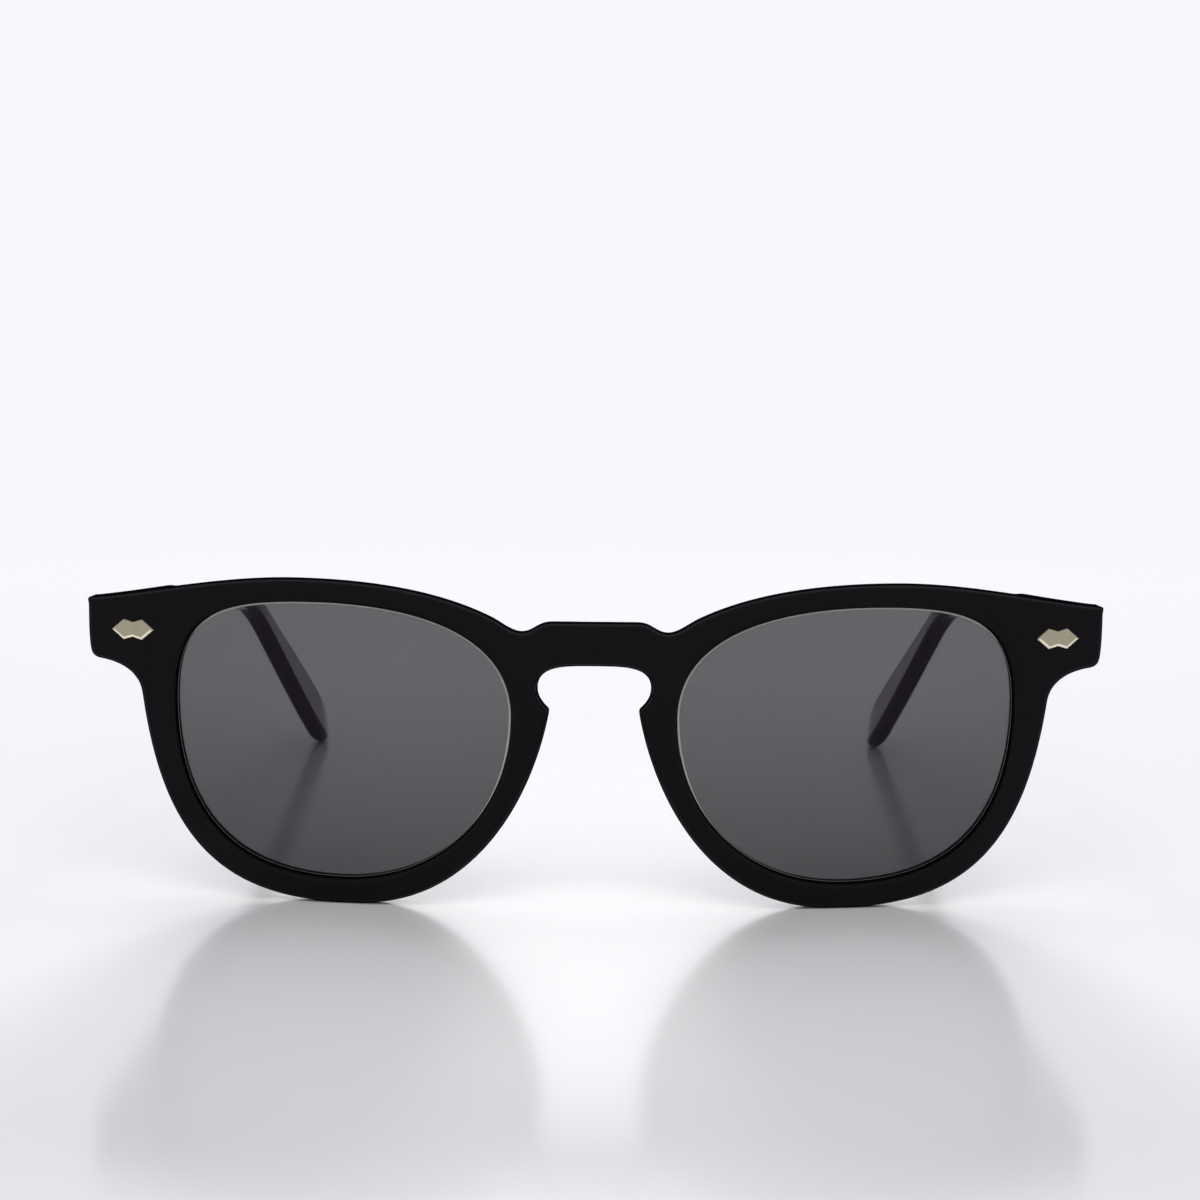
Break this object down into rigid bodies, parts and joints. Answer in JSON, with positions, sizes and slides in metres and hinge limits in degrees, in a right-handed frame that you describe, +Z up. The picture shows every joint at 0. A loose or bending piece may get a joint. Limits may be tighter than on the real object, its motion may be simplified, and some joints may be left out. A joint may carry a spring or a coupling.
{
  "type": "sunglasses",
  "caption": "Square sunglasses with a keyhole bridge, grey lenses and two folding temples on barrel hinges.",
  "frame": {"origin": "middle of the open glasses' footprint, on the surface that the rims and temple tips stand on", "axes": "+Z up; the front looks along -Y; +X is the wearer's left"},
  "size_m": [0.1418, 0.1504, 0.0444],
  "materials": {
    "black_acetate": "polished black acetate",
    "grey_lens": "grey tint, polished",
    "hinge_steel": "satin",
    "plaque_silver": "satin, warm silver"
  },
  "bodies": {
    "front": {"front": "black_acetate", "right_lens": "grey_lens", "left_lens": "grey_lens", "right_nose_pad": "black_acetate", "left_nose_pad": "black_acetate", "right_front_plaque": "plaque_silver", "left_front_plaque": "plaque_silver", "right_front_hinge": "hinge_steel", "left_front_hinge": "hinge_steel", "right_hinge_screw": "hinge_steel", "left_hinge_screw": "hinge_steel"},
    "left_temple": {"left_temple": "black_acetate", "left_core_wire": "hinge_steel", "left_temple_hinge": "hinge_steel", "left_temple_plaque": "plaque_silver"},
    "right_temple": {"right_temple": "black_acetate", "right_core_wire": "hinge_steel", "right_temple_hinge": "hinge_steel", "right_temple_plaque": "plaque_silver"}
  },
  "joints": [
    {"name": "left_fold", "type": "hinge", "parent": "front", "child": "left_temple", "pos_m": [0.06485, -0.05859, 0.03685], "axis": [0, 0, 1], "range_deg": [0, 88]},
    {"name": "right_fold", "type": "hinge", "parent": "front", "child": "right_temple", "pos_m": [-0.06485, -0.05859, 0.03685], "axis": [0, 0, -1], "range_deg": [0, 79]}
  ]
}
